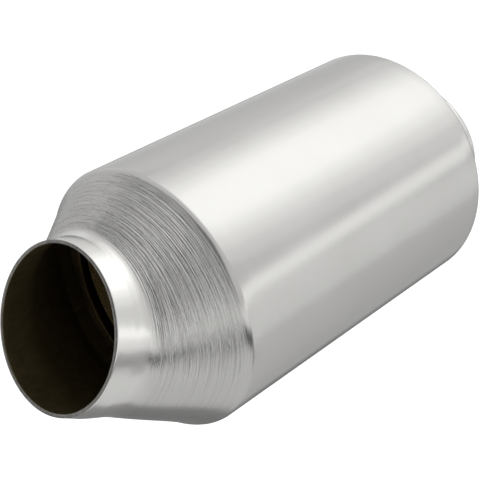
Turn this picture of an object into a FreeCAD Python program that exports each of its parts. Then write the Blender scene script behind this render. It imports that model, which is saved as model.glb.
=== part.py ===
"""Spun-formed catalytic converter: one steel tube with both ends spun down to angled
necks, holding two ceramic honeycomb bricks in support mats between two retaining rings.

Frame, in millimetres: the origin is the centre of the straight body on its axis, +X runs
along the body from inlet to outlet, and +Z is the side that both necks lean towards.
"""
import FreeCAD, Part
import os
from math import cos, hypot, radians, sin, tan

Vector = FreeCAD.Vector
X_AXIS = Vector(1, 0, 0)
Y_AXIS = Vector(0, 1, 0)

# ---- driving dimensions -------------------------------------------------------------
body_radius = 50.8            # 4 inch can
body_length = 140.0           # straight stretch between the two spun shoulders
wall = 1.3                    # sheet thickness, kept through cones and necks
neck_radius = 30.15           # outside of a 60.3 mm neck, so a 57.15 mm pipe slips in

brick_radius = 46.5           # 93 mm round substrate
brick_length = 54.0
brick_gap = 10.0              # mixing space between the two bricks
cell_pitch = 8.8              # channel grid, coarser than the real one
cell_wall = 1.1
brick_skin = 1.2

mat_setback = 3.0             # a mat ends this far inside its brick's faces
mat_seam = 0.8                # open seam where the wrapped mat's ends meet
mat_tongue = 14.0             # how far the seam's tongue steps round the brick
seam_cut_height = 12.0        # height of the cutter, from below the shell up into the bore

ring_front = 6.6              # from a brick's outer face out to its retaining ring's face
ring_lip_radius = 42.9        # inner edge of the ring's lip
ring_thickness = 1.0
ring_to_mat = 0.2             # the hoop stops just short of the mat

spin_passes = (0, 0.3, 0.8, 1)  # roller stations along a cone, 0 at the shoulder, 1 at the throat
shoulder_share = 0.06         # part of a cone's travel that its rounded shoulder takes
throat_share = 0.2            # and its rounded throat
cone_hollow = 0.84            # below 1, the cone draws in early and flattens towards the neck
half_bend_deg = 25.0          # half the turn at each end of a cone

cut_margin = 1.0              # how far a cutting tool passes beyond what it cuts


class End:
    """One spun end: where its neck axis leaves the body axis, how far it leans and reaches."""

    def __init__(self, side, lean_deg, shoulder_to_pivot, pivot_to_neck, pivot_to_mouth):
        self.side = side
        self.lean = radians(lean_deg)
        self.shoulder_to_pivot = shoulder_to_pivot
        self.pivot_to_neck = pivot_to_neck
        self.pivot_to_mouth = pivot_to_mouth
        self.pivot = Vector(side * (body_length / 2 + shoulder_to_pivot), 0, 0)
        self.outward = self.direction(self.lean)
        self.mouth = self.pivot + self.outward * pivot_to_mouth

    def direction(self, angle):
        return Vector(self.side * cos(angle), 0, sin(angle))


inlet = End(-1, lean_deg=21.3, shoulder_to_pivot=20.5, pivot_to_neck=16.4, pivot_to_mouth=23.4)
outlet = End(1, lean_deg=10.0, shoulder_to_pivot=16.5, pivot_to_neck=7.6, pivot_to_mouth=13.9)


# ---- spun tube ----------------------------------------------------------------------
def eased_ramp(u):
    """0 to 1 with a rounded start at the shoulder and a rounded end at the throat."""
    slope = 1 / (1 - (shoulder_share + throat_share) / 2)
    if u < shoulder_share:
        return slope * u * u / (2 * shoulder_share)
    if u > 1 - throat_share:
        return 1 - slope * (1 - u) ** 2 / (2 * throat_share)
    return slope * (u - shoulder_share / 2)


def circle_wire(centre, normal, radius):
    circle = Part.Circle(centre, normal, radius)
    circle.XAxis = Y_AXIS
    return Part.Wire(circle.toShape())


def bend_setback(inset):
    """The inside of a bend starts this much before the outside."""
    return inset * tan(radians(half_bend_deg))


def cone_section(end, u, inset):
    """The tube's section at u from shoulder (0) to throat (1), inset from the outer surface."""
    setback = bend_setback(inset)
    start = Vector(end.side * (body_length / 2 - setback), 0, 0)
    throat = end.pivot + end.outward * (end.pivot_to_neck - setback)
    centre = start * (1 - u) ** 2 + end.pivot * (2 * u * (1 - u)) + throat * u ** 2
    lean = end.lean * u ** 2
    drop = (body_radius - neck_radius) * eased_ramp(u) ** cone_hollow
    return circle_wire(centre, end.direction(lean), body_radius - inset - drop)


def spun_end(end, inset, overshoot):
    """Cone and neck on one side, as a solid inset by a wall or by nothing."""
    setback = bend_setback(inset)
    cone = Part.makeLoft([cone_section(end, u, inset) for u in spin_passes], True, True)
    throat = end.pivot + end.outward * (end.pivot_to_neck - setback)
    neck_length = end.pivot_to_mouth - end.pivot_to_neck + setback + overshoot
    neck = Part.makeCylinder(neck_radius - inset, neck_length, throat, end.outward)
    return cone.fuse(neck)


def spun_tube(inset, overshoot):
    length = body_length - 2 * bend_setback(inset)
    tube = Part.makeCylinder(body_radius - inset, length, Vector(-length / 2, 0, 0), X_AXIS)
    for end in (inlet, outlet):
        tube = tube.fuse(spun_end(end, inset, overshoot))
    return tube.removeSplitter()


def make_shell():
    return spun_tube(0, 0).cut(spun_tube(wall, cut_margin)).removeSplitter()


# ---- honeycomb bricks ---------------------------------------------------------------
def channel_centres():
    """Centres of the whole square channels that fit inside the brick's skin."""
    reach = int(brick_radius // cell_pitch) + 1
    limit = brick_radius - brick_skin
    corner = (cell_pitch - cell_wall) / 2
    for row in range(-reach, reach + 1):
        for column in range(-reach, reach + 1):
            y = column * cell_pitch
            z = row * cell_pitch
            if hypot(abs(y) + corner, abs(z) + corner) <= limit:
                yield y, z


def square_wire(x, y, z, side):
    half = side / 2
    corners = [(-half, -half), (half, -half), (half, half), (-half, half), (-half, -half)]
    return Part.makePolygon([Vector(x, y + dy, z + dz) for dy, dz in corners])


def make_brick(x_start):
    rim = circle_wire(Vector(x_start, 0, 0), X_AXIS, brick_radius)
    side = cell_pitch - cell_wall
    channels = [square_wire(x_start, y, z, side) for y, z in channel_centres()]
    face = Part.makeFace([rim] + channels, "Part::FaceMakerBullseye")
    return face.extrude(X_AXIS * brick_length)


# ---- support mats -------------------------------------------------------------------
def make_mat(x_start):
    """Mat wrapped round a brick, its ends meeting in a tongue-and-groove seam below."""
    length = brick_length - 2 * mat_setback
    start = Vector(x_start + mat_setback, 0, 0)
    outer = Part.makeCylinder(body_radius - wall, length, start, X_AXIS)
    mat = outer.cut(Part.makeCylinder(brick_radius, length, start, X_AXIS))
    third = length / 3
    z_low = -body_radius - cut_margin
    for index, y in enumerate((0, mat_tongue, 0)):
        corner = Vector(start.x + index * third - mat_seam / 2, y, z_low)
        mat = mat.cut(Part.makeBox(third + mat_seam, mat_seam, seam_cut_height, corner))
    for index in (1, 2):
        corner = Vector(start.x + index * third - mat_seam / 2, 0, z_low)
        mat = mat.cut(Part.makeBox(mat_seam, mat_tongue, seam_cut_height, corner))
    return mat


# ---- retaining rings ----------------------------------------------------------------
def make_ring(side):
    """Pressed ring: a hoop against the shell, turned in to a flat lip before the brick."""
    brick_face = brick_gap / 2 + brick_length
    face_x = brick_face + ring_front
    back_x = face_x - ring_thickness
    hoop_x = brick_face - mat_setback + ring_to_mat
    outer = body_radius - wall
    inner = outer - ring_thickness
    outline = [
        (face_x, ring_lip_radius), (face_x, outer), (hoop_x, outer),
        (hoop_x, inner), (back_x, inner), (back_x, ring_lip_radius),
    ]
    points = [Vector(side * x, 0, radius) for x, radius in outline]
    profile = Part.Face(Part.makePolygon(points + points[:1]))
    return profile.revolve(Vector(0, 0, 0), X_AXIS, 360)


# ---- export -------------------------------------------------------------------------
front_start = -brick_gap / 2 - brick_length
rear_start = brick_gap / 2
parts = {
    "shell": make_shell(),
    "front_brick": make_brick(front_start),
    "rear_brick": make_brick(rear_start),
    "front_mat": make_mat(front_start),
    "rear_mat": make_mat(rear_start),
    "inlet_ring": make_ring(-1),
    "outlet_ring": make_ring(1),
}

os.makedirs("parts", exist_ok=True)
for name, shape in parts.items():
    shape.exportStep(f"parts/{name}.step")
    box = shape.BoundBox
    print(name, shape.ShapeType, shape.isValid(), len(shape.Solids), round(shape.Volume),
          [round(v, 2) for v in (box.XMin, box.YMin, box.ZMin, box.XMax, box.YMax, box.ZMax)])
print("inlet mouth", inlet.mouth, inlet.outward)
print("outlet mouth", outlet.mouth, outlet.outward)
print("channels in a brick", len(list(channel_centres())))
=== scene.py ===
"""Looks of a spun-formed catalytic converter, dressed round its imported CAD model.

The tube is rebuilt with its roller grooves as real relief, and the bricks with their true
400 cells per square inch. Everything is in metres in the CAD frame: +X runs along the body
from inlet to outlet, and +Z is the side that the necks lean towards.
"""
from math import cos, hypot, pi, radians, sin, tan

import bpy
import numpy as np
from mathutils import Matrix, Quaternion, Vector


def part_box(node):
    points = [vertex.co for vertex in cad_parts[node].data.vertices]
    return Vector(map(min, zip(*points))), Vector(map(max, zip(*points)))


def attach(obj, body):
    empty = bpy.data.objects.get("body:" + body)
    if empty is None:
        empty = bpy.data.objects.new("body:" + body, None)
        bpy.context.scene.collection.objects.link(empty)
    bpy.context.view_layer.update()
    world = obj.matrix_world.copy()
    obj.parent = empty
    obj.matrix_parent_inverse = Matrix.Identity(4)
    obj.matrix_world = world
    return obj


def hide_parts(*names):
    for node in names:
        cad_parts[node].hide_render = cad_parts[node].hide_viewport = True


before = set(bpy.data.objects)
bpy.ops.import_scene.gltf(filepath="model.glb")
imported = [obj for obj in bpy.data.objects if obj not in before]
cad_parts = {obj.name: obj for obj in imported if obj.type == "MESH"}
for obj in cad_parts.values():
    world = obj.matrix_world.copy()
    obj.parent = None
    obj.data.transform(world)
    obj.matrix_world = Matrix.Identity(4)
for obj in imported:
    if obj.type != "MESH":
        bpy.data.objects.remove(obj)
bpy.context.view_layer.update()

MM = 0.001

# ---- the tube's driving sizes, as in the CAD source -----------------------------------
body_radius = 50.8 * MM
body_length = 140.0 * MM
wall = 1.3 * MM
neck_radius = 30.15 * MM
shoulder_share = 0.06
throat_share = 0.2
throat_swell = 1.1 * MM       # the real throat is fuller and softer than the CAD's few facets
cone_hollow = 0.84
half_bend_deg = 25.0

# ---- how finely it is made here ---------------------------------------------------------
around = 192                  # facets round the tube
cone_stations = 190           # rings of vertices along a grooved cone
bore_stations = 24            # and along its bore, which carries less relief
neck_rings = 12
body_rings = 25
bore_rings = 5                # along the straight part of the bore
skin = 0.02 * MM              # the shell's surface stays this far inside the CAD's

# ---- what the rollers left --------------------------------------------------------------
groove_depth = 0.075 * MM
groove_waves = 70             # waves of relief laid over one another
touch_start = 0.035           # share of a cone's travel before the marks begin
touch_wander = 0.010          # how far that edge wanders round the tube
touch_fade_in = 0.04
touch_end = 0.84
touch_fade_out = 0.14
bore_touch = 0.3              # the marks show this much through on the bore
underside_touch = 0.3         # and this much on the underside
burnish_and_highlight_start = 0.7            # the burnish and a painted highlight grow from here towards the throat
burnish_and_highlight_fade = 0.2

# ---- the soft run from cone to neck -----------------------------------------------------
throat_softness = 1.0 * MM
softening_length = 10 * MM    # back from the mouth, over which that softness grows


class End:
    """One spun end of the tube, as in the CAD source."""

    def __init__(self, side, lean_deg, shoulder_to_pivot, pivot_to_neck, pivot_to_mouth, seed):
        self.side = side
        self.lean = radians(lean_deg)
        self.pivot = np.array([side * (body_length / 2 + shoulder_to_pivot * MM), 0, 0])
        self.to_neck = pivot_to_neck * MM
        self.to_mouth = pivot_to_mouth * MM
        self.seed = seed
        self.outward = self.direction(self.lean)
        self.mouth = self.pivot + self.outward * self.to_mouth

    def direction(self, angle):
        return np.array([self.side * cos(angle), 0, sin(angle)])


inlet = End(-1, 21.3, 20.5, 16.4, 23.4, seed=4)
outlet = End(1, 10.0, 16.5, 7.6, 13.9, seed=9)


# ---- mesh helpers -----------------------------------------------------------------------
def new_object(name, vertices, faces, material, smooth=True):
    mesh = bpy.data.meshes.new(name)
    mesh.from_pydata([tuple(v) for v in vertices], [], faces)
    mesh.validate()
    mesh.update()
    if smooth:
        mesh.shade_smooth()
    piece = bpy.data.objects.new(name, mesh)
    bpy.context.scene.collection.objects.link(piece)
    piece.data.materials.append(material)
    return piece


def bridge(rings, count, first=0, flip=False, loop=False):
    """Quads between successive rings of vertices, and in a loop from the last to the first."""
    faces = []
    for ring in range(rings if loop else rings - 1):
        here = first + ring * count
        there = first + (ring + 1) % rings * count
        for index in range(count):
            following = (index + 1) % count
            quad = (here + index, here + following, there + following, there + index)
            faces.append(quad[::-1] if flip else quad)
    return faces


def turned(outline, count):
    """Vertices of an outline of (x, radius) points turned about the X axis."""
    vertices = []
    for x, radius in outline:
        for index in range(count):
            angle = 2 * pi * index / count
            vertices.append((x, radius * sin(angle), radius * cos(angle)))
    return vertices


# ---- spun tube --------------------------------------------------------------------------
def eased_ramp(u):
    """0 to 1 with a rounded start at the shoulder and a rounded end at the throat."""
    slope = 1 / (1 - (shoulder_share + throat_share) / 2)
    if u < shoulder_share:
        return slope * u * u / (2 * shoulder_share)
    if u > 1 - throat_share:
        return 1 - slope * (1 - u) ** 2 / (2 * throat_share)
    return slope * (u - shoulder_share / 2)


def station(end, u, inset):
    """Centre, lean and radius of the tube's section, u from shoulder 0 to throat 1."""
    setback = inset * tan(radians(half_bend_deg))
    start = np.array([end.side * (body_length / 2 - setback), 0, 0])
    throat = end.pivot + end.outward * (end.to_neck - setback)
    centre = start * (1 - u) ** 2 + end.pivot * (2 * u * (1 - u)) + throat * u ** 2
    drop = (body_radius - neck_radius) * eased_ramp(u) ** cone_hollow
    return centre, end.lean * u ** 2, body_radius - inset - drop


turn = np.linspace(0, 2 * pi, around, endpoint=False)


def section(side, centre, lean, radius):
    """A ring of vertices, angle 0 on top and growing towards -Y."""
    upward = np.array([-side * sin(lean), 0, cos(lean)])
    across = np.array([0, -1, 0])
    rise = (radius * np.cos(turn))[:, None]
    reach = (radius * np.sin(turn))[:, None]
    return centre + rise * upward + reach * across


def roller_touch(end, stations):
    """How much the rollers marked each place: from just past the shoulder to before the throat."""
    along = np.linspace(0, 1, stations)[:, None]
    start = touch_start + touch_wander * np.sin(turn[None, :] * 3 + end.seed)
    growing = np.clip((along - start) / touch_fade_in, 0, 1)
    return growing * np.clip((touch_end - along) / touch_fade_out, 0, 1)


def groove_relief(end, stations):
    """Depth of the roller marks, 0 to 1, by station (rows) and angle round the tube."""
    rng = np.random.default_rng(end.seed)
    along = np.linspace(0, 1, stations)[:, None]
    relief = np.zeros((stations, around))
    for _ in range(groove_waves):
        waves = rng.uniform(9, 48)                  # marks along the cone
        sway = rng.uniform(0.3, 1.6)                # radians that a mark strays on its way round
        wander = sway * np.sin(turn * rng.integers(1, 4) + rng.uniform(0, 2 * pi))
        feed = turn * rng.integers(-2, 3)           # a mark runs on into its neighbour
        swell = 0.4 + 0.6 * np.sin(turn * rng.integers(1, 10) + rng.uniform(0, 2 * pi))
        phase = 2 * pi * waves * along + rng.uniform(0, 2 * pi) + wander + feed
        relief += swell * np.sin(phase) / (16 + waves)
    relief = relief / (2.6 * relief.std())          # few places reach the limits
    return np.clip(0.5 + 0.5 * relief, 0, 1)


def soften(radii, distance, throat):
    """Gives the neck a slight taper from the mouth inwards and runs the cone softly into it."""
    mouth = distance[-1]
    radii = np.array(radii)
    taper = radii[-1] + throat_swell * (mouth - distance) / (mouth - throat)
    share = np.clip((mouth - distance) / softening_length, 0, 1)
    softness = throat_softness * share * share * (3 - 2 * share)
    return (radii + taper + np.sqrt((radii - taper) ** 2 + softness ** 2)) / 2


class Lathe:
    """Rings of vertices along the shell's surfaces, with what each vertex knows of the spinning."""

    def __init__(self):
        self.rows = []
        self.lathe = []        # distance along the tube, and place round it
        self.spun = []         # how much the rollers marked it
        self.burnish_and_highlight = []       # how much they burnished it, with a painted highlight, at the throat and neck
        self.groove = []       # how deep it lies in their marks

    def add(self, row, distance, spun=0.0, groove=0.0, burnish_and_highlight=0.0):
        plain = np.zeros(around)
        self.rows.append(row)
        place = (plain + distance, body_radius * np.sin(turn), body_radius * np.cos(turn))
        self.lathe.append(np.stack(place, axis=1))
        self.spun.append(plain + spun)
        self.groove.append(plain + groove)
        self.burnish_and_highlight.append(plain + burnish_and_highlight)

    def end(self, end, inset, stations, strength, outward):
        """Rings from shoulder to mouth, or from mouth to shoulder."""
        sections = [station(end, u, inset) for u in np.linspace(0, 1, stations)]
        throat = sections[-1][0]
        for step in np.linspace(0, 1, neck_rings + 1)[1:]:
            sections.append((throat + (end.mouth - throat) * step, end.lean, neck_radius - inset))
        distance = [0.0]
        for before, after in zip(sections, sections[1:]):
            advance = np.linalg.norm(after[0] - before[0])
            distance.append(distance[-1] + hypot(advance, after[2] - before[2]))
        distance = np.array(distance)
        radii = soften([radius for _, _, radius in sections], distance, distance[stations - 1])
        touch = roller_touch(end, stations) * strength
        relief = groove_relief(end, stations)
        rings = []
        for index, (centre, lean, _) in enumerate(sections):
            on_cone = index < stations
            fade = np.interp(np.cos(turn) * cos(lean), (-0.5, -0.2), (underside_touch, 1.0))
            spun = touch[index] * fade if on_cone else 0.0
            groove = relief[index] * spun if on_cone else 0.0
            burnish_and_highlight = min(max((index / (stations - 1) - burnish_and_highlight_start) / burnish_and_highlight_fade, 0), 1)
            radius = np.full(around, radii[index]) - groove * groove_depth
            ring = section(end.side, centre, lean, radius)
            place = end.side * (body_length / 2 + distance[index])
            rings.append((ring, place, spun, groove, burnish_and_highlight))
        for ring in rings if outward else reversed(rings):
            self.add(*ring)

    def surface(self, inset, stations, straight_rings, strength):
        """One surface from the inlet's mouth to the outlet's. Returns how many rings it has."""
        before = len(self.rows)
        radius = np.full(around, body_radius - inset)
        self.end(inlet, inset, stations, strength, outward=False)
        for x in np.linspace(-body_length / 2, body_length / 2, straight_rings)[1:-1]:
            self.add(section(1, np.array([x, 0, 0]), 0.0, radius), x)
        self.end(outlet, inset, stations, strength, outward=True)
        return len(self.rows) - before


def make_shell(material):
    """The whole tube. Its faces use material slot 0 outside, 1 in the bore and 2 on the lips."""
    lathe = Lathe()
    outside = lathe.surface(skin, cone_stations, body_rings, 1.0)
    inside = lathe.surface(wall, bore_stations, bore_rings, bore_touch)
    faces = bridge(outside, around, flip=True)
    outside_faces = len(faces)
    first = outside * around
    faces += bridge(inside, around, first=first)
    inside_faces = len(faces)
    last_out = (outside - 1) * around
    last_in = first + (inside - 1) * around
    for column in range(around):
        following = (column + 1) % around
        faces.append((column, following, first + following, first + column))
        faces.append((last_out + column, last_in + column,
                      last_in + following, last_out + following))
    piece = new_object("spun_tube", np.concatenate(lathe.rows), faces, material)
    slots = np.full(len(faces), 2)
    slots[:inside_faces] = 1
    slots[:outside_faces] = 0
    piece.data.polygons.foreach_set("material_index", slots)
    for name, kind, key, rings in (("groove", "FLOAT", "value", lathe.groove),
                                   ("spun", "FLOAT", "value", lathe.spun),
                                   ("burnish_and_highlight", "FLOAT", "value", lathe.burnish_and_highlight),
                                   ("lathe", "FLOAT_VECTOR", "vector", lathe.lathe)):
        attribute = piece.data.attributes.new(name, kind, "POINT")
        attribute.data.foreach_set(key, np.concatenate(rings).ravel())
    return piece


# ---- materials --------------------------------------------------------------------------
fine_relief = 0.1 * MM
score_relief = 0.6 * MM
felt_relief = 0.2 * MM


class Finish:
    """A small builder for one node material."""

    def __init__(self, name, **sockets):
        self.material = bpy.data.materials.new(name)
        self.material.use_nodes = True
        self.nodes = self.material.node_tree.nodes
        self.links = self.material.node_tree.links
        self.shader = self.nodes["Principled BSDF"]
        for socket, value in sockets.items():
            self.shader.inputs[socket.replace("_", " ")].default_value = value
        self.place = self.nodes.new("ShaderNodeTexCoord").outputs["Object"]

    def add(self, kind, inputs=(), **settings):
        node = self.nodes.new(kind)
        for key, value in settings.items():
            setattr(node, key, value)
        for key, value in dict(inputs).items():
            if hasattr(value, "is_linked"):
                self.links.new(value, node.inputs[key])
            else:
                node.inputs[key].default_value = value
        return node

    def stretched(self, scale, vector=None):
        """Coordinates multiplied by a factor on each axis."""
        node = self.add("ShaderNodeMapping", {"Vector": vector or self.place, "Scale": scale})
        return node.outputs["Vector"]

    def drawn(self, along, round_):
        """Noise drawn out round the tube: its marks are finer along the tube than round it."""
        vector = self.add("ShaderNodeAttribute", attribute_name="lathe").outputs["Vector"]
        return self.noise(1.0, 4.0, self.stretched((along, round_, round_), vector))

    def noise(self, scale, detail, vector=None):
        inputs = {"Vector": vector or self.place, "Scale": scale, "Detail": detail}
        return self.add("ShaderNodeTexNoise", inputs).outputs["Fac"]

    def ramp(self, fac, *stops):
        """Stops are (position, grey) or (position, (r, g, b))."""
        node = self.add("ShaderNodeValToRGB", {"Fac": fac})
        elements = node.color_ramp.elements
        while len(elements) < len(stops):
            elements.new(0.5)
        for element, (position, value) in zip(elements, stops):
            element.position = position
            shade = value if isinstance(value, tuple) else (value, value, value)
            element.color = (*shade, 1)
        return node.outputs["Color"]

    def mix(self, fac, a, b, blend="MIX"):
        node = self.add("ShaderNodeMix", data_type="RGBA", blend_type=blend)
        for key, value in ((0, fac), (6, a), (7, b)):
            if hasattr(value, "is_linked"):
                self.links.new(value, node.inputs[key])
            elif key == 0:
                node.inputs[key].default_value = value
            else:
                node.inputs[key].default_value = (*value, 1)
        return node.outputs[2]

    def attribute(self, name):
        return self.add("ShaderNodeAttribute", attribute_name=name).outputs["Fac"]

    def bump(self, height, strength, distance, under=None):
        """Relief by a height; strength is a number or an output, under is finer relief below it."""
        inputs = {"Height": height, "Strength": strength, "Distance": distance}
        if under is not None:
            inputs["Normal"] = under
        return self.add("ShaderNodeBump", inputs).outputs["Normal"]

    def wire(self, **outputs):
        for socket, output in outputs.items():
            self.links.new(output, self.shader.inputs[socket.replace("_", " ")])
        return self.material


def steel_outside():
    """Ferritic stainless tube, mill finished, with spinning marks round the cones. Painted shade
    darkens the dips of those marks, and a lighter base at the throat and neck is partly burnish and
    partly painted highlight.
    """
    m = Finish("spun_stainless", Metallic=1.0, Specular_Tint=(0.62, 0.62, 0.62, 1))
    cloud = m.noise(38, 4.0)
    brushed = m.drawn(1500, 25)
    scored = m.drawn(1900, 24)
    spun = m.attribute("spun")
    groove = m.attribute("groove")
    tone = m.ramp(cloud, (0.3, (0.440, 0.436, 0.424)), (0.7, (0.460, 0.456, 0.445)))
    tone = m.mix(m.ramp(brushed, (0.4, 0.0), (0.7, 0.15)), tone, (0.48, 0.477, 0.465))
    # Painted shade: the dips of the scored relief are darkened in colour.
    score_line_shade = m.mix(1.0, m.ramp(scored, (0.38, 0.18), (0.46, 0.0)), spun, "MULTIPLY")
    tone = m.mix(score_line_shade, tone, (0.16, 0.157, 0.15))
    # Painted shade: the deepest parts of the roller grooves are darkened in colour.
    groove_hollow_shade = m.mix(1.0, groove, m.ramp(scored, (0.35, 0.25), (0.6, 0.0)), "MULTIPLY")
    tone = m.mix(groove_hollow_shade, tone, (0.24, 0.237, 0.23))
    # Lighter base colour at the throat and neck: partly the burnish, partly a painted highlight.
    tone = m.mix(m.attribute("burnish_and_highlight"), tone, (0.58, 0.575, 0.56))
    rough = m.ramp(m.mix(0.5, cloud, brushed), (0.3, 0.18), (0.7, 0.24))
    rough = m.mix(spun, rough, (0.20, 0.20, 0.20))
    normal = m.bump(scored, spun, score_relief, under=m.bump(brushed, 0.02, fine_relief))
    return m.wire(Base_Color=tone, Roughness=rough, Normal=normal)


def steel_inside():
    """The bore, browned by hot gas, with soot drawn out along the flow."""
    m = Finish("heat_browned_stainless", Metallic=0.5)
    flow = m.noise(1.0, 5.0, m.stretched((60, 420, 420)))
    cloud = m.noise(70, 4.0)
    soot = (0.075, 0.058, 0.024)
    brown = (0.10, 0.077, 0.034)
    straw = (0.14, 0.108, 0.055)
    tone = m.ramp(flow, (0.3, soot), (0.55, brown), (0.8, straw))
    tone = m.mix(m.ramp(cloud, (0.4, 0.0), (0.75, 0.6)), tone, (0.11, 0.08, 0.038))
    rough = m.ramp(cloud, (0.3, 0.42), (0.7, 0.55))
    normal = m.bump(m.drawn(900, 40), 0.25, fine_relief)
    return m.wire(Base_Color=tone, Roughness=rough, Normal=normal)


def steel_cut():
    """The sawn and brushed end of the tube wall."""
    m = Finish("cut_steel_edge", Metallic=1.0)
    saw = m.noise(1.0, 3.0, m.stretched((300, 900, 300)))
    tone = m.ramp(saw, (0.3, (0.16, 0.155, 0.145)), (0.7, (0.30, 0.295, 0.28)))
    rough = m.ramp(saw, (0.3, 0.3), (0.7, 0.5))
    return m.wire(Base_Color=tone, Roughness=rough, Normal=m.bump(saw, 0.2, fine_relief))


def ring_steel():
    """The pressed rings, browned less evenly than the bore."""
    m = Finish("heat_browned_ring", Metallic=0.8)
    cloud = m.noise(120, 4.0)
    tone = m.ramp(cloud, (0.3, (0.14, 0.10, 0.048)), (0.7, (0.24, 0.17, 0.08)))
    rough = m.ramp(cloud, (0.3, 0.45), (0.7, 0.6))
    normal = m.bump(m.noise(2000, 2.0), 0.2, fine_relief)
    return m.wire(Base_Color=tone, Roughness=rough, Normal=normal)


def washcoat():
    """Cordierite under a tan washcoat."""
    m = Finish("washcoated_ceramic", Roughness=0.9)
    cloud = m.noise(60, 4.0)
    speck = m.noise(2500, 2.0)
    tone = m.ramp(cloud, (0.3, (0.27, 0.18, 0.062)), (0.7, (0.38, 0.26, 0.10)))
    tone = m.mix(m.ramp(speck, (0.45, 0.0), (0.8, 0.7)), tone, (0.55, 0.42, 0.22))
    rough = m.ramp(speck, (0.3, 0.8), (0.7, 0.97))
    return m.wire(Base_Color=tone, Roughness=rough, Normal=m.bump(speck, 0.35, fine_relief))


def fibre_mat():
    """Intumescent mat: pale fibres with mica flakes."""
    m = Finish("intumescent_fibre", Roughness=0.95)
    fibre = m.noise(1.0, 6.0, m.stretched((900, 2600, 900)))
    flake = m.add("ShaderNodeTexVoronoi", {"Vector": m.place, "Scale": 700.0}).outputs["Distance"]
    tone = m.ramp(fibre, (0.3, (0.44, 0.39, 0.31)), (0.7, (0.72, 0.67, 0.57)))
    tone = m.mix(m.ramp(flake, (0.0, 0.7), (0.25, 0.0)), tone, (0.55, 0.42, 0.22))
    rough = m.ramp(flake, (0.0, 0.55), (0.3, 0.98))
    return m.wire(Base_Color=tone, Roughness=rough, Normal=m.bump(fibre, 0.6, felt_relief))


# ---- honeycomb bricks -------------------------------------------------------------------
real_pitch = 1.27 * MM        # 400 cells per square inch
real_wall = 0.19 * MM
brick_skin = 0.9 * MM
skin_left = 0.6               # the walls stop this share of the skin short of its outside
brick_facets = 128
hair = 0.02 * MM              # keeps faces of crossing walls out of one plane


def slab(vertices, faces, low, high):
    """Adds a box between two corners."""
    first = len(vertices)
    for x in (low[0], high[0]):
        for y in (low[1], high[1]):
            for z in (low[2], high[2]):
                vertices.append((x, y, z))
    for quad in ((0, 1, 3, 2), (4, 6, 7, 5), (0, 4, 5, 1),
                 (2, 3, 7, 6), (0, 2, 6, 4), (1, 5, 7, 3)):
        faces.append(tuple(first + corner for corner in quad))


def make_brick(name, node, material):
    """Crossed walls inside a round skin."""
    low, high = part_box(node)
    radius = (high[1] - low[1]) / 2
    reach = radius - brick_skin * skin_left
    count = int(reach // real_pitch)
    thick = real_wall / 2
    vertices = []
    faces = []
    for index in range(-count, count + 1):
        at = index * real_pitch
        half = (reach ** 2 - at ** 2) ** 0.5
        slab(vertices, faces,
             (low[0] + hair, -half, at - thick),
             (high[0] - hair, half, at + thick))
        slab(vertices, faces,
             (low[0] + 2 * hair, at - thick, -half),
             (high[0] - 2 * hair, at + thick, half))
    inner = radius - brick_skin
    outline = [(low[0], radius), (high[0], radius), (high[0], inner), (low[0], inner)]
    faces += bridge(len(outline), brick_facets, first=len(vertices), loop=True)
    vertices += turned(outline, brick_facets)
    piece = new_object(name, vertices, faces, material, smooth=False)
    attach(piece, "root")
    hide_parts(node)
    return piece


# ---- retaining rings --------------------------------------------------------------------
ring_lip_radius = 42.9 * MM
ring_thickness = 1.0 * MM
ring_bend = 2.6 * MM          # outside radius of the bend between hoop and lip
ring_edge = 0.25 * MM         # bevel round the lip's inner edge
ring_facets = 160
bend_steps = 6


def make_ring(name, node, side, material):
    """Pressed ring with rounded bends, turned about the X axis."""
    low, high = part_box(node)
    face_x, hoop_x = (low[0], high[0]) if side < 0 else (high[0], low[0])
    back_x = face_x - side * ring_thickness
    outer = (high[1] - low[1]) / 2
    inner = outer - ring_thickness
    outline = [(hoop_x, outer)]
    for step in range(bend_steps + 1):
        angle = pi / 2 * step / bend_steps
        outline.append((face_x - side * ring_bend * (1 - sin(angle)),
                        outer - ring_bend * (1 - cos(angle))))
    outline += [
        (face_x, ring_lip_radius + ring_edge),
        (face_x - side * ring_edge, ring_lip_radius),
        (back_x + side * ring_edge, ring_lip_radius),
        (back_x, ring_lip_radius + ring_edge),
    ]
    tight = ring_bend - ring_thickness
    for step in range(bend_steps + 1):
        angle = pi / 2 * (1 - step / bend_steps)
        outline.append((back_x - side * tight * (1 - sin(angle)),
                        inner - tight * (1 - cos(angle))))
    outline.append((hoop_x, inner))
    faces = bridge(len(outline), ring_facets, flip=side < 0, loop=True)
    piece = new_object(name, turned(outline, ring_facets), faces, material)
    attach(piece, "root")
    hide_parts(node)
    return piece


# ---- build the object -------------------------------------------------------------------
shell = make_shell(steel_outside())
shell.data.materials.append(steel_inside())
shell.data.materials.append(steel_cut())
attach(shell, "root")
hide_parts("shell")

ceramic = washcoat()
make_brick("front_honeycomb", "front_brick", ceramic)
make_brick("rear_honeycomb", "rear_brick", ceramic)
browned = ring_steel()
make_ring("inlet_ring_pressed", "inlet_ring", -1, browned)
make_ring("outlet_ring_pressed", "outlet_ring", 1, browned)
felt = fibre_mat()
for name in ("front_mat", "rear_mat"):
    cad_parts[name].data.materials.clear()
    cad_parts[name].data.materials.append(felt)


# ---- floor, lights and camera -----------------------------------------------------------
sky_light = 0.6               # what the white room gives to matt surfaces; 1 is white
paper_grey = 0.86
paper_glow = 0.46             # with the lamps, this brings the paper to white
floor_level = -0.36
floor_reach = 6.0


def corners_of(x_range, y_range, z):
    """The corners of a level rectangle."""
    (x_low, x_high), (y_low, y_high) = x_range, y_range
    return [(x_low, y_low, z), (x_high, y_low, z), (x_high, y_high, z), (x_low, y_high, z)]


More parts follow.
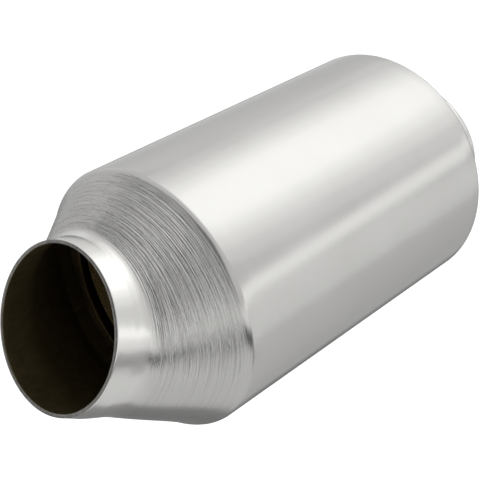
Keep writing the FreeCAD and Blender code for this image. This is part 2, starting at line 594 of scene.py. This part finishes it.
def sheet(name, corners):
    """A flat four-cornered sheet."""
    mesh = bpy.data.meshes.new(name)
    mesh.from_pydata(corners, [], [(0, 1, 2, 3)])
    piece = bpy.data.objects.new(name, mesh)
    bpy.context.scene.collection.objects.link(piece)
    return piece


def light_path(tree):
    """1 for camera, glossy and transmission rays, 0 for the rest."""
    path = tree.nodes.new("ShaderNodeLightPath")
    value = path.outputs["Is Camera Ray"]
    for name in ("Is Glossy Ray", "Is Transmission Ray"):
        node = tree.nodes.new("ShaderNodeMath")
        node.operation = "MAXIMUM"
        tree.links.new(value, node.inputs[0])
        tree.links.new(path.outputs[name], node.inputs[1])
        value = node.outputs[0]
    return value


world = bpy.data.worlds.new("studio")
bpy.context.scene.world = world
world.use_nodes = True
background = world.node_tree.nodes["Background"]
background.inputs["Color"].default_value = (1, 1, 1, 1)
level = world.node_tree.nodes.new("ShaderNodeMapRange")
level.inputs["To Min"].default_value = sky_light
level.inputs["To Max"].default_value = 1.0
world.node_tree.links.new(light_path(world.node_tree), level.inputs["Value"])
world.node_tree.links.new(level.outputs["Result"], background.inputs["Strength"])

extent = (-floor_reach, floor_reach)
floor = sheet("floor", corners_of(extent, extent, floor_level))
paper = bpy.data.materials.new("floor_paper")
paper.use_nodes = True
shader = paper.node_tree.nodes["Principled BSDF"]
shader.inputs["Base Color"].default_value = (paper_grey, paper_grey, paper_grey, 1)
shader.inputs["Roughness"].default_value = 0.9
shader.inputs["Specular IOR Level"].default_value = 0.0
shader.inputs["Emission Color"].default_value = (1, 1, 1, 1)
glow = paper.node_tree.nodes.new("ShaderNodeMapRange")
glow.inputs["To Min"].default_value = 0.0
glow.inputs["To Max"].default_value = paper_glow
paper.node_tree.links.new(light_path(paper.node_tree), glow.inputs["Value"])
paper.node_tree.links.new(glow.outputs["Result"], shader.inputs["Emission Strength"])
floor.data.materials.append(paper)


def along_arc(angle_deg, x):
    """Direction with that x share, at an angle round the X axis from +Z towards -Y."""
    angle = radians(angle_deg)
    rest = (1 - x * x) ** 0.5
    return Vector((x, -rest * sin(angle), rest * cos(angle)))


def lamp(name, direction, distance, shape, width, height, radiance, tilt_deg=0.0):
    """An area lamp facing the object, its width in the plane of the X axis and the lamp."""
    data = bpy.data.lights.new(name, "AREA")
    data.shape = shape
    data.size = width
    data.size_y = height
    area = width * height if shape == "RECTANGLE" else pi / 4 * width * width
    data.energy = radiance * pi * area
    piece = bpy.data.objects.new(name, data)
    bpy.context.scene.collection.objects.link(piece)
    out = direction.normalized()
    lengthways = (Vector((1, 0, 0)) - out * out.x).normalized()
    lengthways.rotate(Quaternion(out, radians(tilt_deg)))
    upright = out.cross(lengthways)
    turned = Matrix((lengthways, upright, out)).transposed().to_4x4()
    piece.matrix_world = Matrix.Translation(out * distance) @ turned
    piece.visible_camera = False


# Discs one behind another make a soft light that is brightest at its middle. They stand
# a little apart, because lamps in one plane would hide each other.
key_discs = ((16, 0.28), (23, 0.30), (31, 0.28), (41, 0.26))    # half angle, radiance
key_distance = 2.6
key_spacing = 0.03
for index, (half_angle, radiance) in enumerate(key_discs):
    distance = key_distance + key_spacing * index
    width = 2 * distance * tan(radians(half_angle))
    lamp(f"key_{index}", along_arc(13, 0.65), distance, "DISK", width, width, radiance)

# A long strip beside the body: a bright core before a wider, weaker one.
strip_length = 6.0
strip_tilt = 12
lamp("strip_core", along_arc(95, 0.25), 2.6, "RECTANGLE", strip_length, 0.42, 0.52, strip_tilt)
lamp("strip_soft", along_arc(96, 0.25), 2.7, "RECTANGLE", strip_length, 0.6, 0.26, strip_tilt)
lamp("fill_left", along_arc(-72, 0.62), 2.8, "RECTANGLE", 3.6, 2.2, 0.22)


def card(name, corners, grey):
    """A grey card of the studio that only the metal's reflections see."""
    piece = sheet(name, corners)
    paint = bpy.data.materials.new(name)
    paint.use_nodes = True
    nodes = paint.node_tree.nodes
    nodes.remove(nodes["Principled BSDF"])
    glow = nodes.new("ShaderNodeEmission")
    glow.inputs["Color"].default_value = (grey, grey, grey, 1)
    surface = nodes["Material Output"].inputs["Surface"]
    paint.node_tree.links.new(glow.outputs["Emission"], surface)
    piece.data.materials.append(paint)
    piece.visible_camera = False
    piece.visible_diffuse = False
    piece.visible_shadow = False
    piece.visible_transmission = False


# The room behind the camera, then the table's light and dark places from front to back. The table
# cards glow just above the floor; their dark ones are painted shade and a painted shadow of the
# object, which only the metal's reflections show.
room = [(-2.4, -3, -0.3), (-2.4, 3, -0.3), (-1.6, 3, 3.2), (-1.6, -3, 3.2)]
card("room_behind_camera", room, 0.30)
high_card, middle_card, low_card = -0.336, -0.345, -0.35
card("table_front", corners_of((-1.2, -0.05), (-2.4, -0.82), high_card), 1.4)
card("table_shade", corners_of((-0.9, 0.0), (-0.84, -0.48), middle_card), 0.03)
card("table_grey", corners_of((0.0, 0.20), (-0.84, -0.28), middle_card), 0.50)
card("shadow_below", corners_of((-0.6, 0.12), (0.0, 0.7), middle_card), 0.42)
card("table_top", corners_of((-0.3, 1.8), (-0.45, 0.10), low_card), 0.94)
# Painted shadow: this dark card stands in for the object's shadow on the table behind it.
card("table_back", corners_of((-0.3, 1.8), (0.10, 1.6), low_card), 0.30)

camera_data = bpy.data.cameras.new("camera")
camera_data.lens = 89.84
camera_data.sensor_width = 36.0
camera = bpy.data.objects.new("camera", camera_data)
bpy.context.scene.collection.objects.link(camera)
camera_place = Vector((-0.31863, -0.29609, 0.20112))
right = Vector((0.66564, -0.73932, -0.10163))
forward = Vector((0.64218, 0.63683, -0.42668))
turned_to_view = Matrix((right, right.cross(forward), -forward)).transposed().to_4x4()
camera.matrix_world = Matrix.Translation(camera_place) @ turned_to_view
bpy.context.scene.camera = camera

bpy.context.scene.view_settings.view_transform = "Standard"
